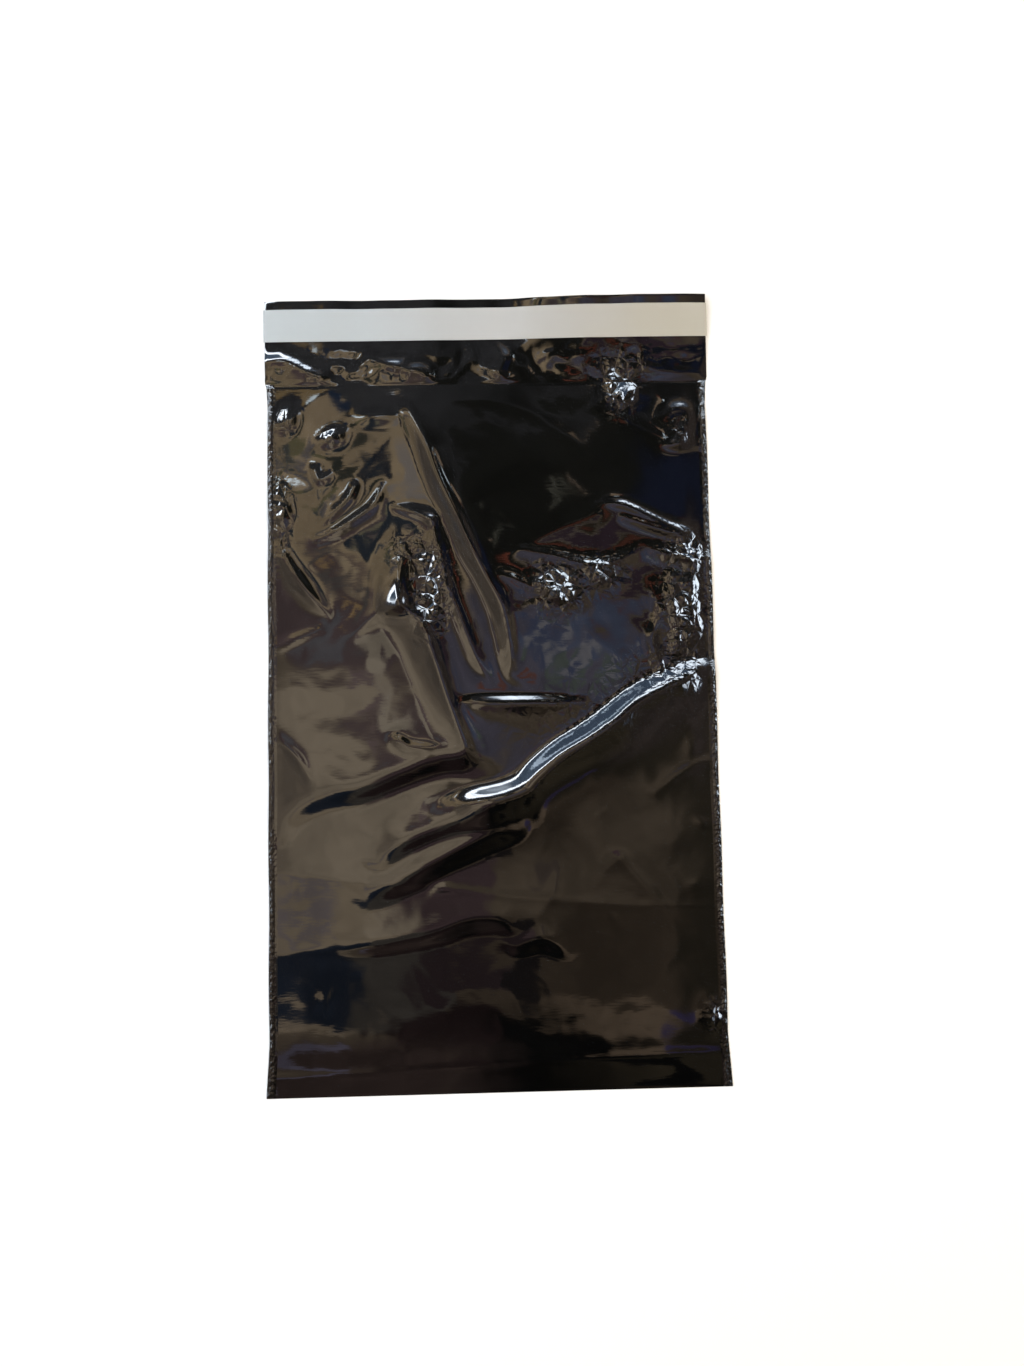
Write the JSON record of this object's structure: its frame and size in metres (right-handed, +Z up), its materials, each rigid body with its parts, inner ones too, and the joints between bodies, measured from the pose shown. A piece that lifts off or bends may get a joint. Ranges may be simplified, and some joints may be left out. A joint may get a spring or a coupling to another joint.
{
  "type": "poly mailer bag",
  "caption": "Flat film mailing bag: one folded and side-welded film with an open mouth and a flap, a strip of adhesive on the flap and a peel-off release liner over it.",
  "frame": {"origin": "on the surface that the bag lies on, under the middle of its outline", "axes": "+Y from the bottom fold to the flap's free edge, +X to the right as seen from the side with the mouth, +Z up out of the front wall"},
  "size_m": [0.201, 0.352, 0.0065],
  "materials": {
    "film": "polished",
    "adhesive": "gloss",
    "liner": "satin"
  },
  "bodies": {
    "root": {"film_bag": "film", "adhesive_strip": "adhesive", "release_liner": "liner"}
  },
  "joints": []
}
